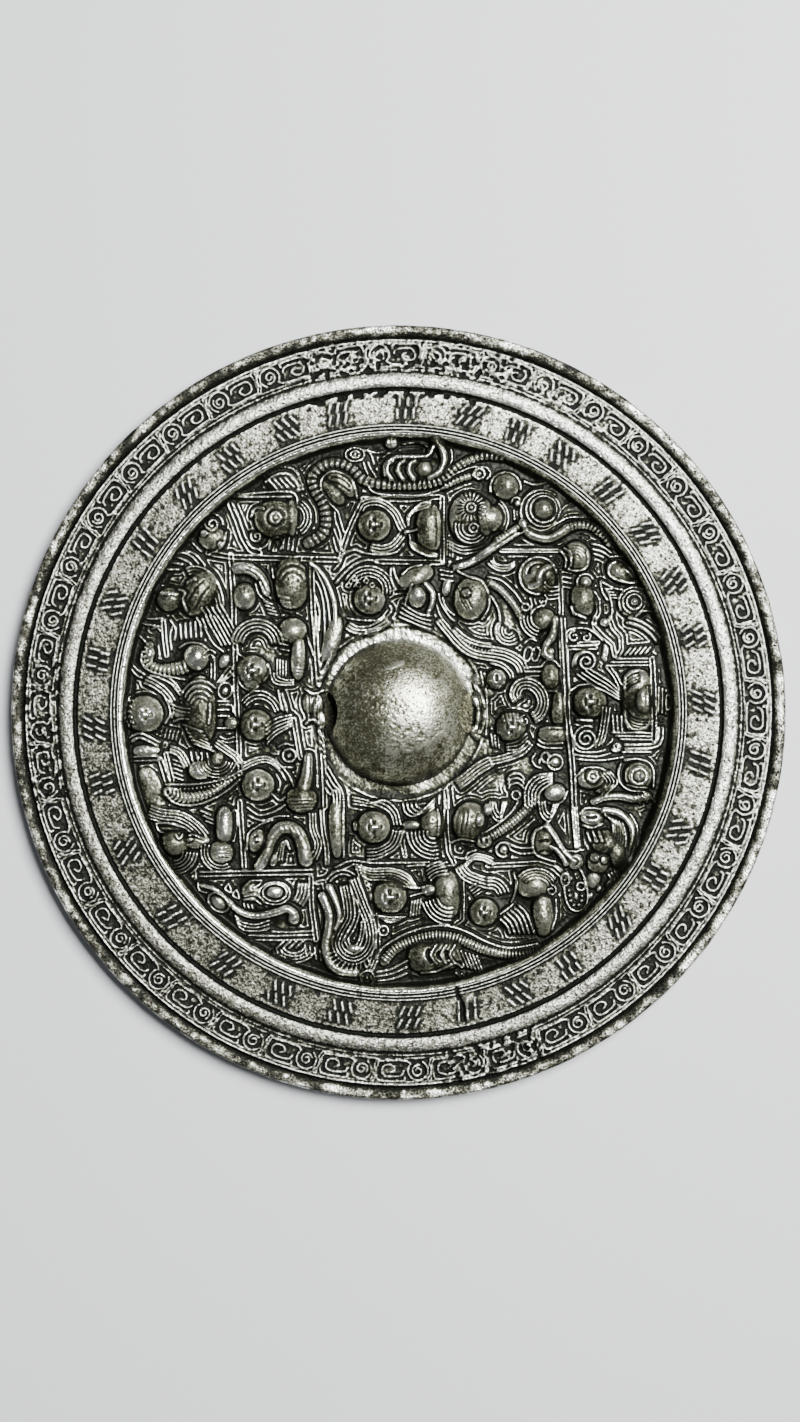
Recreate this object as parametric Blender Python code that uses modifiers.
"""Ancient bronze mirror, cast in one piece, lying on its polished face with the decorated back up.

Metres, +Z up. The origin is the middle of the polished face, on the surface that the mirror lies on.
Places on the decorated field are in chart units, fiftieths of the field's radius, from the centre.
"""

import math

import bmesh
import bpy
from mathutils import Matrix, Vector

# Widths of the rings, from the middle out
KNOB_RADIUS = 0.0130
MOAT_WIDTH = 0.0024
FIELD_RADIUS = 0.0490
FIELD_WALL_WIDTH = 0.0018
BORDER_RIDGE_WIDTH = 0.0017
INSCRIPTION_WIDTH = 0.0060
PLAIN_BAND_WIDTH = 0.0031
SCROLL_WIDTH = 0.0058
LINE_WIDTH = 0.0006
LIP_WIDTH = 0.0024

# Heights
FLOOR_THICKNESS = 0.0022
INSCRIPTION_RISE = 0.0020
BORDER_RIDGE_RISE = 0.0003
PLAIN_BAND_RISE = 0.0007
LIP_RISE = 0.0005
GROOVE_DEPTH = 0.0003
LINE_HEIGHT = 0.0004
KNOB_HEIGHT = 0.0096
OUTER_EDGE_ROUND = 0.0006

# Polished face, slightly domed around a flat middle
FLAT_RADIUS = 0.034
FACE_RISE = 0.0006

# Cord hole through the foot of the knob, along X
HOLE_WIDTH = 0.0070
HOLE_HEIGHT = 0.0052
HOLE_SILL = 0.00025

# Relief on the field
HEAD_HEIGHT = 0.0022
BODY_HEIGHT = 0.0020
LIMB_HEIGHT = 0.0016
LOW_HEIGHT = 0.0010
RIDGE_WIDTH = 0.0007
RIDGE_HEIGHT = 0.0007
ROOT_DEPTH = 0.0008
ROOT_SINK = 0.0001
SLEEVE_RADIUS = 0.0006

# Relief on the bands
SCROLL_PAIRS = 40
SCROLL_RISE = 0.0005
INSCRIPTION_PLACES = 31
STROKE_LENGTH = 0.0032
STROKE_WIDTH = 0.0006
STROKE_RISE = 0.0003

# Smoothness
TURN_STEPS = 48
KNOB_STEPS = 5
DOME_SIDES = 8
DOME_RINGS = 4
PATH_STEPS = 2
ARC_STEPS = 4
HOLE_STEPS = 8

CHART = FIELD_RADIUS / 50
FIELD_FOOT = FIELD_RADIUS - FIELD_WALL_WIDTH
INSCRIPTION_START = FIELD_RADIUS + BORDER_RIDGE_WIDTH
PLAIN_START = INSCRIPTION_START + INSCRIPTION_WIDTH
SCROLL_START = PLAIN_START + PLAIN_BAND_WIDTH
LIP_START = SCROLL_START + SCROLL_WIDTH
MIRROR_RADIUS = LIP_START + LIP_WIDTH
BAND_LEVEL = FLOOR_THICKNESS + INSCRIPTION_RISE


def clear_scene():
    for item in list(bpy.data.objects):
        bpy.data.objects.remove(item)


def new_collection(name):
    group = bpy.data.collections.new(name)
    bpy.context.scene.collection.children.link(group)
    return group


def add_object(name, mesh, group):
    item = bpy.data.objects.new(name, mesh)
    group.objects.link(item)
    return item


def hide_cutter(item):
    item.hide_render = True
    item.display_type = "WIRE"


def bronze(name):
    material = bpy.data.materials.new(name)
    material.use_nodes = True
    shader = material.node_tree.nodes["Principled BSDF"]
    shader.inputs["Base Color"].default_value = (0.11, 0.112, 0.098, 1)
    shader.inputs["Metallic"].default_value = 0.85
    shader.inputs["Roughness"].default_value = 0.42
    return material


def knob_profile():
    """Dome from its top down to the field."""
    points = []
    for step in range(KNOB_STEPS):
        angle = math.radians(90 * (1 - step / KNOB_STEPS))
        points.append((KNOB_RADIUS * math.cos(angle), FLOOR_THICKNESS + KNOB_HEIGHT * math.sin(angle)))
    points[0] = (0, FLOOR_THICKNESS + KNOB_HEIGHT)
    points.append((KNOB_RADIUS, FLOOR_THICKNESS))
    return points


def band_profile():
    """Field, inscription band, plain band, scroll band and lip, going out."""
    groove = BAND_LEVEL - GROOVE_DEPTH
    crest = BAND_LEVEL + PLAIN_BAND_RISE
    lip = BAND_LEVEL + LIP_RISE
    return [
        (KNOB_RADIUS + MOAT_WIDTH, FLOOR_THICKNESS),
        (FIELD_FOOT, FLOOR_THICKNESS),
        (FIELD_RADIUS, BAND_LEVEL),
        (FIELD_RADIUS + BORDER_RIDGE_WIDTH / 2, BAND_LEVEL + BORDER_RIDGE_RISE),
        (INSCRIPTION_START, BAND_LEVEL),
        (PLAIN_START - GROOVE_DEPTH, BAND_LEVEL),
        (PLAIN_START, groove),
        (PLAIN_START + GROOVE_DEPTH, crest - GROOVE_DEPTH),
        (PLAIN_START + PLAIN_BAND_WIDTH / 2, crest),
        (SCROLL_START, crest - GROOVE_DEPTH),
        (SCROLL_START + LINE_WIDTH, BAND_LEVEL),
        (LIP_START - LINE_WIDTH, BAND_LEVEL),
        (LIP_START - LINE_WIDTH / 2, BAND_LEVEL + LINE_HEIGHT),
        (LIP_START, groove),
        (LIP_START + GROOVE_DEPTH, lip),
        (MIRROR_RADIUS - OUTER_EDGE_ROUND, lip),
        (MIRROR_RADIUS, lip - OUTER_EDGE_ROUND),
    ]


def face_profile():
    """Outer edge and the polished face, from the rim back to the middle."""
    return [
        (MIRROR_RADIUS, FACE_RISE + OUTER_EDGE_ROUND),
        (MIRROR_RADIUS - OUTER_EDGE_ROUND, FACE_RISE),
        (FLAT_RADIUS, 0),
        (0, 0),
    ]


def turned_plate(group):
    points = knob_profile() + band_profile() + face_profile()
    mesh = bpy.data.meshes.new("mirror_profile")
    edges = [(i, i + 1) for i in range(len(points) - 1)]
    mesh.from_pydata([(r, 0, z) for r, z in points], edges, [])
    plate = add_object("bronze_mirror", mesh, group)
    turn = plate.modifiers.new("turn", "SCREW")
    turn.axis = "Z"
    turn.angle = math.tau
    turn.steps = TURN_STEPS
    turn.render_steps = TURN_STEPS
    turn.use_merge_vertices = True
    turn.merge_threshold = 0.00001
    return plate


def chart_point(x, y):
    return Vector((x * CHART, y * CHART, FLOOR_THICKNESS - ROOT_SINK))


def dome(group, x, y, half_length, half_width, height, turn=0):
    """Rounded form on the field. Its root reaches down into the floor."""
    bm = bmesh.new()
    bmesh.ops.create_uvsphere(bm, u_segments=DOME_SIDES, v_segments=DOME_RINGS, radius=1)
    for vert in bm.verts:
        vert.co.x *= half_length * CHART
        vert.co.y *= half_width * CHART
        vert.co.z *= height if vert.co.z > 0 else ROOT_DEPTH
    spin = Matrix.Rotation(math.radians(turn), 4, "Z")
    bmesh.ops.transform(bm, matrix=Matrix.Translation(chart_point(x, y)) @ spin, verts=bm.verts)
    mesh = bpy.data.meshes.new("dome")
    bm.to_mesh(mesh)
    bm.free()
    hide_cutter(add_object("dome", mesh, group))


def tube(group, path, radius):
    """Round body along a smooth path on the field, with its radius in metres."""
    curve = bpy.data.curves.new("tube", "CURVE")
    curve.dimensions = "3D"
    curve.bevel_depth = radius
    curve.bevel_resolution = 1
    curve.use_fill_caps = True
    spline = curve.splines.new("POLY")
    spline.points.add(len(path) - 1)
    for point, (x, y) in zip(spline.points, path):
        point.co = (*chart_point(x, y), 1)
    source = bpy.data.objects.new("tube_curve", curve)
    group.objects.link(source)
    bpy.context.view_layer.update()
    view = bpy.context.evaluated_depsgraph_get()
    mesh = bpy.data.meshes.new_from_object(source.evaluated_get(view))
    bpy.data.objects.remove(source)
    bm = bmesh.new()
    bm.from_mesh(mesh)
    bmesh.ops.remove_doubles(bm, verts=bm.verts, dist=0.000001)
    bm.to_mesh(mesh)
    bm.free()
    hide_cutter(add_object("tube", mesh, group))


def smooth_path(places):
    """Catmull-Rom curve through places in chart units."""
    ends = [places[0], *places, places[-1]]
    path = []
    for a, b, c, d in zip(ends, ends[1:], ends[2:], ends[3:]):
        for step in range(PATH_STEPS):
            t = step / PATH_STEPS
            weights = (
                (-t + 2 * t**2 - t**3) / 2,
                (2 - 5 * t**2 + 3 * t**3) / 2,
                (t + 4 * t**2 - 3 * t**3) / 2,
                (-(t**2) + t**3) / 2,
            )
            x = sum(w * p[0] for w, p in zip(weights, (a, b, c, d)))
            y = sum(w * p[1] for w, p in zip(weights, (a, b, c, d)))
            path.append((x, y))
    path.append(places[-1])
    return path


def arc_path(x, y, radius, start, end):
    """Points along an arc, its angles in degrees from +X."""
    path = []
    for step in range(ARC_STEPS + 1):
        angle = math.radians(start + (end - start) * step / ARC_STEPS)
        path.append((x + radius * math.cos(angle), y + radius * math.sin(angle)))
    return path


def block(group, centre, size, turn):
    """Box with its middle at centre, turned about Z, in metres and radians."""
    bm = bmesh.new()
    bmesh.ops.create_cube(bm, size=1)
    placed = Matrix.Translation(centre) @ Matrix.Rotation(turn, 4, "Z") @ Matrix.Diagonal((*size, 1))
    bmesh.ops.transform(bm, matrix=placed, verts=bm.verts)
    mesh = bpy.data.meshes.new("block")
    bm.to_mesh(mesh)
    bm.free()
    hide_cutter(add_object("block", mesh, group))


def frame_ridge(group, x0, y0, x1, y1):
    """Thin straight ridge that frames a group of figures."""
    length = math.hypot(x1 - x0, y1 - y0) * CHART
    middle = chart_point((x0 + x1) / 2, (y0 + y1) / 2)
    middle.z = FLOOR_THICKNESS + (RIDGE_HEIGHT - ROOT_DEPTH) / 2
    size = (length, RIDGE_WIDTH, RIDGE_HEIGHT + ROOT_DEPTH)
    block(group, middle, size, math.atan2(y1 - y0, x1 - x0))


def seated_deity(group, x, y, reach, head, body_length, body_width):
    """Head on the left, with the hands, the sleeves and the rounded body reach to its right."""
    body_x = x + reach
    hands = 0.45 * head
    dome(group, x, y, head, head, HEAD_HEIGHT)
    dome(group, body_x, y, body_width, body_length, BODY_HEIGHT)
    dome(group, body_x - body_width - hands, y, hands, hands, LIMB_HEIGHT)
    for side in (-1, 1):
        sleeve_y = y + side * 0.2 * body_length
        sleeve = arc_path(body_x - hands / 2, sleeve_y, 0.9 * body_length, 100 * side, 175 * side)
        tube(group, sleeve, SLEEVE_RADIUS)


def deities(group):
    seated_deity(group, -4.5, 33.7, 9.8, 2.9, 4.3, 2.2)
    seated_deity(group, -5.2, 20.2, 8.8, 2.8, 3.6, 2.0)
    seated_deity(group, -45.0, 0.0, 9.3, 3.2, 5.8, 2.4)
    seated_deity(group, 34.2, 2.0, 8.6, 2.6, 5.3, 2.6)
    seated_deity(group, -4.4, -20.5, 9.8, 2.9, 3.0, 1.8)
    seated_deity(group, -1.8, -33.0, 9.6, 2.9, 3.8, 2.6)


def beast(group, head, body, limb):
    """Each part is x, y, half length, half width and turn in degrees."""
    for (x, y, half_length, half_width, turn), height in (
        (head, HEAD_HEIGHT),
        (body, BODY_HEIGHT),
        (limb, LIMB_HEIGHT),
    ):
        dome(group, x, y, half_length, half_width, height, turn)


def beasts(group):
    beast(group, (-22.0, 34.7, 4.0, 3.8, 0), (-20.5, 42.2, 3.4, 1.8, -20), (-33.3, 31.8, 2.5, 2.6, 0))
    beast(group, (-41.0, 20.9, 2.3, 2.3, 0), (-35.8, 21.0, 4.0, 2.4, 62), (-33.2, 16.0, 1.6, 3.0, 30))
    beast(group, (-27.3, 21.3, 1.9, 2.4, 0), (-18.9, 23.0, 2.3, 4.4, 0), (-25.4, 24.4, 2.8, 1.4, -40))
    beast(group, (-26.4, 7.2, 2.4, 2.9, 0), (-19.0, 14.5, 2.6, 2.4, 0), (-17.8, 8.9, 1.1, 3.3, 0))
    beast(group, (-36.0, 10.0, 2.2, 2.2, 0), (-41.0, 8.2, 3.0, 1.3, 10), (-44.9, 10.4, 1.1, 1.5, 0))
    beast(group, (-26.0, -2.1, 2.6, 2.8, 0), (-21.6, -1.2, 2.0, 1.4, -60), (-29.9, -2.1, 1.0, 1.0, 0))
    beast(group, (-25.3, -13.0, 2.7, 2.9, 0), (-17.6, -14.7, 2.3, 2.2, 0), (-17.0, -10.2, 1.1, 2.6, 0))
    beast(group, (-25.7, -22.8, 1.7, 2.3, 0), (-17.6, -23.0, 2.1, 4.2, 8), (-22.6, -24.2, 1.3, 3.3, 12))
    beast(group, (-40.3, -23.2, 2.5, 2.1, 0), (-31.9, -25.0, 2.6, 2.7, 0), (-31.0, -20.4, 1.4, 3.2, 0))
    beast(group, (12.2, 34.9, 3.0, 4.4, 0), (15.2, 35.0, 1.4, 3.8, 0), (18.8, 40.7, 2.4, 2.4, 0))
    beast(group, (13.4, 20.0, 2.6, 3.8, -12), (26.2, 17.2, 2.3, 1.7, 20), (27.0, 12.0, 1.2, 2.4, 0))
    beast(group, (24.9, 25.1, 3.2, 3.3, 0), (32.8, 20.2, 1.8, 3.2, 0), (33.4, 24.0, 1.1, 1.1, 0))
    beast(group, (20.5, -2.6, 2.8, 2.3, 0), (28.5, 0.4, 1.4, 2.9, 0), (27.7, -4.3, 2.6, 1.4, 0))
    beast(group, (34.9, -11.6, 2.9, 1.9, 0), (43.0, -11.4, 2.7, 2.7, 0), (40.0, -15.0, 4.6, 1.3, 10))
    beast(group, (12.9, -19.6, 2.6, 3.6, 15), (26.8, -23.0, 2.6, 3.4, 25), (31.7, -26.8, 1.6, 1.6, 0))
    beast(group, (36.2, -25.8, 2.2, 2.4, 0), (39.2, -23.6, 2.8, 4.4, 20), (34.9, -19.0, 2.4, 1.4, -8))
    beast(group, (15.2, -35.8, 2.5, 2.6, 0), (24.3, -30.9, 3.2, 2.4, 0), (25.8, -36.2, 1.6, 3.6, 0))
    beast(group, (7.0, -43.8, 4.9, 2.6, 4), (7.6, 46.0, 1.8, 2.7, -20), (2.6, 43.6, 4.9, 2.1, 0))
    dome(group, 27.2, 6.6, 1.5, 2.3, BODY_HEIGHT)
    dome(group, 32.2, 28.3, 1.9, 2.6, LIMB_HEIGHT, 20)
    dome(group, 39.8, 25.2, 2.9, 1.7, LIMB_HEIGHT, -32)
    dome(group, -35.7, -10.2, 1.7, 1.6, LIMB_HEIGHT)
    dome(group, -11.3, -20.8, 1.4, 5.0, LIMB_HEIGHT)
    dome(group, -11.0, 40.8, 3.6, 2.0, LIMB_HEIGHT, -32)
    dome(group, 20.7, -36.6, 3.6, 1.9, LIMB_HEIGHT, 55)
    dome(group, 18.0, 6.3, 1.7, 1.7, LIMB_HEIGHT)
    dome(group, -32.3, -34.1, 2.1, 1.6, LOW_HEIGHT, -20)
    dome(group, -22.6, -32.3, 2.5, 1.8, LOW_HEIGHT)


def bosses(group):
    """Round bosses and the middles of spirals: x, y and radius in chart units."""
    for x, y, radius in ((25.6, 36.7, 3.6), (42.2, 19.8, 2.3), (33.7, 8.9, 2.2), (33.6, -4.7, 2.4)):
        dome(group, x, y, radius, radius, LIMB_HEIGHT)


def dragon_bodies(group):
    """Long bodies: radius in chart units, then the places they pass."""
    for radius, places in (
        (1.15, [(-16.0, 30.4), (-13.4, 34.5), (-15.4, 41.5), (-12.5, 44.8), (-7.0, 43.4), (-2.5, 40.6)]),
        (0.85, [(-4.0, 41.2), (-1.0, 40.5), (5.0, 40.8), (11.0, 44.4), (19.0, 45.6)]),
        (0.75, [(8.0, 40.9), (11.4, 42.3), (15.0, 43.0)]),
        (0.95, [(10.4, 26.4), (16.0, 29.6), (22.4, 33.2)]),
        (1.05, [(21.8, 32.9), (25.6, 31.0), (30.0, 33.1), (34.0, 33.6), (38.0, 29.4)]),
        (1.10, [(-13.8, -33.4), (-12.8, -37.5), (-13.4, -42.4), (-9.6, -46.2), (-5.4, -44.6)]),
        (0.85, [(-4.6, -45.2), (-1.0, -41.9), (6.0, -39.7), (14.0, -42.0), (25.0, -42.6)]),
        (0.70, [(15.0, -23.2), (19.0, -20.4), (24.4, -15.2)]),
        (0.70, [(16.4, 23.7), (20.0, 21.2), (22.2, 17.6)]),
        (0.70, [(-35.0, -31.0), (-29.6, -34.7), (-24.5, -36.6), (-18.9, -36.1)]),
        (0.90, [(29.9, -28.2), (30.2, -33.2), (32.3, -35.6), (33.9, -31.6)]),
        (0.90, [(-41.2, -14.4), (-37.0, -15.8), (-28.8, -12.2)]),
    ):
        tube(group, smooth_path(places), radius * CHART)


def curved_bands(group):
    """Halos, wings and haunches as parts of rings: x, y, radius, and the angles where each starts and ends."""
    for x, y, radius, start, end in (
        (-4.0, 33.6, 4.2, 120, -20),
        (-5.6, 21.6, 4.2, 175, 10),
        (-4.0, -20.5, 4.4, 40, -60),
        (-2.0, -32.5, 4.6, 130, 10),
        (-25.7, 11.6, 3.3, 170, 10),
        (-36.2, 21.4, 5.0, 130, 20),
        (22.4, 2.4, 3.2, 160, -50),
        (20.4, 15.6, 2.0, 180, 340),
        (24.8, -14.6, 2.6, 60, 200),
        (17.0, 7.2, 5.0, 80, -5),
        (-17.0, 20.0, 6.0, 45, -45),
        (-39.6, -24.2, 3.6, 230, 330),
        (40.6, 9.8, 5.4, 85, 20),
    ):
        tube(group, arc_path(x, y, radius, start, end), SLEEVE_RADIUS)


def frames(group):
    """Thin straight ridges that part the groups of figures, from end to end in chart units."""
    for ends in (
        (-30.2, 33.0, -29.2, -9.0),
        (-28.3, -11.0, -27.7, -28.2),
        (28.9, 25.0, 30.4, -2.0),
        (30.7, -7.0, 31.7, -24.0),
        (-34.0, 28.6, -11.0, 27.9),
        (-29.6, 39.0, -19.0, 39.0),
        (-29.9, 37.6, -27.2, 30.4),
        (-18.3, 39.6, -18.3, 31.0),
        (-6.0, 38.6, 7.2, 38.7),
        (7.9, 38.4, 7.9, 28.4),
        (-3.6, 27.3, 7.4, 27.0),
        (18.4, 28.7, 28.6, 28.7),
        (-15.2, 26.0, -14.2, 5.4),
        (-13.8, -4.0, -13.0, -27.0),
        (-36.0, -28.8, -15.4, -28.5),
        (-15.6, -29.6, -14.8, -41.0),
        (-27.0, -40.0, -15.6, -39.8),
        (-2.0, -27.2, 8.6, -27.0),
        (8.5, -15.4, 8.9, -26.2),
        (16.0, -27.3, 26.0, -27.3),
        (31.0, 11.9, 35.6, 11.9),
        (37.4, 8.8, 45.0, 9.0),
        (45.5, 8.2, 45.5, -4.2),
        (38.6, -4.8, 44.8, -4.8),
    ):
        frame_ridge(group, *ends)


def raised_spot(group, centre, radius, top_radius, sides, turn):
    """Low raised spot of the scroll band, sunk a little into it."""
    bm = bmesh.new()
    bmesh.ops.create_cone(
        bm, cap_ends=True, segments=sides, radius1=radius, radius2=top_radius, depth=2 * SCROLL_RISE
    )
    bmesh.ops.transform(bm, matrix=Matrix.Translation(centre) @ Matrix.Rotation(turn, 4, "Z"), verts=bm.verts)
    mesh = bpy.data.meshes.new("scroll")
    bm.to_mesh(mesh)
    bm.free()
    hide_cutter(add_object("scroll", mesh, group))


def scrolls(group):
    """Round and square turns follow each other around the rim."""
    middle = (SCROLL_START + LIP_START) / 2
    room = (LIP_START - SCROLL_START) / 2 - LINE_WIDTH
    for place in range(2 * SCROLL_PAIRS):
        angle = math.tau * (place + 0.5) / (2 * SCROLL_PAIRS)
        centre = Vector((middle * math.cos(angle), middle * math.sin(angle), BAND_LEVEL))
        if place % 2:
            raised_spot(group, centre, room, 0, 6, angle)
        else:
            raised_spot(group, centre, 0.95 * room, 0.7 * room, 4, angle + math.pi / 4)


def inscription(group):
    """Shallow strokes in pairs, where the inscription band has its characters."""
    middle = INSCRIPTION_START + INSCRIPTION_WIDTH / 2
    for place in range(INSCRIPTION_PLACES):
        angle = math.tau * (place + 0.5) / INSCRIPTION_PLACES
        along = Vector((-math.sin(angle), math.cos(angle), 0))
        for column in (-1, 1):
            length = STROKE_LENGTH * (1 - 0.25 * ((place + column) % 3))
            centre = middle * Vector((math.cos(angle), math.sin(angle), 0)) + 1.5 * column * STROKE_WIDTH * along
            centre.z = BAND_LEVEL
            block(group, centre, (length, STROKE_WIDTH, 2 * STROKE_RISE), angle)


def hole_cutter(group):
    """Arched bar along X, longer than the knob is wide."""
    radius = HOLE_WIDTH / 2
    foot = FLOOR_THICKNESS + HOLE_SILL
    spring = foot + HOLE_HEIGHT - radius
    outline = [(-radius, foot), (radius, foot)]
    for step in range(HOLE_STEPS + 1):
        angle = math.pi * step / HOLE_STEPS
        outline.append((radius * math.cos(angle), spring + radius * math.sin(angle)))
    length = KNOB_RADIUS + MOAT_WIDTH / 2
    bm = bmesh.new()
    face = bm.faces.new([bm.verts.new((-length, y, z)) for y, z in outline])
    swept = bmesh.ops.extrude_face_region(bm, geom=[face])
    moved = [item for item in swept["geom"] if isinstance(item, bmesh.types.BMVert)]
    bmesh.ops.translate(bm, vec=(2 * length, 0, 0), verts=moved)
    bmesh.ops.recalc_face_normals(bm, faces=bm.faces)
    mesh = bpy.data.meshes.new("cord_hole")
    bm.to_mesh(mesh)
    bm.free()
    cutter = add_object("cord_hole", mesh, group)
    hide_cutter(cutter)
    return cutter


def join_relief(plate, relief):
    union = plate.modifiers.new("relief", "BOOLEAN")
    union.operation = "UNION"
    union.solver = "EXACT"
    union.operand_type = "COLLECTION"
    union.collection = relief


def cut_hole(plate, cutter):
    cut = plate.modifiers.new("cord_hole", "BOOLEAN")
    cut.operation = "DIFFERENCE"
    cut.solver = "EXACT"
    cut.object = cutter


def main():
    clear_scene()
    parts = new_collection("ancient_bronze_mirror")
    relief = new_collection("relief_forms")
    cutters = new_collection("cutters")
    deities(relief)
    beasts(relief)
    bosses(relief)
    dragon_bodies(relief)
    curved_bands(relief)
    frames(relief)
    scrolls(relief)
    inscription(relief)
    plate = turned_plate(parts)
    plate.data.materials.append(bronze("dark_bronze"))
    join_relief(plate, relief)
    cut_hole(plate, hole_cutter(cutters))


main()
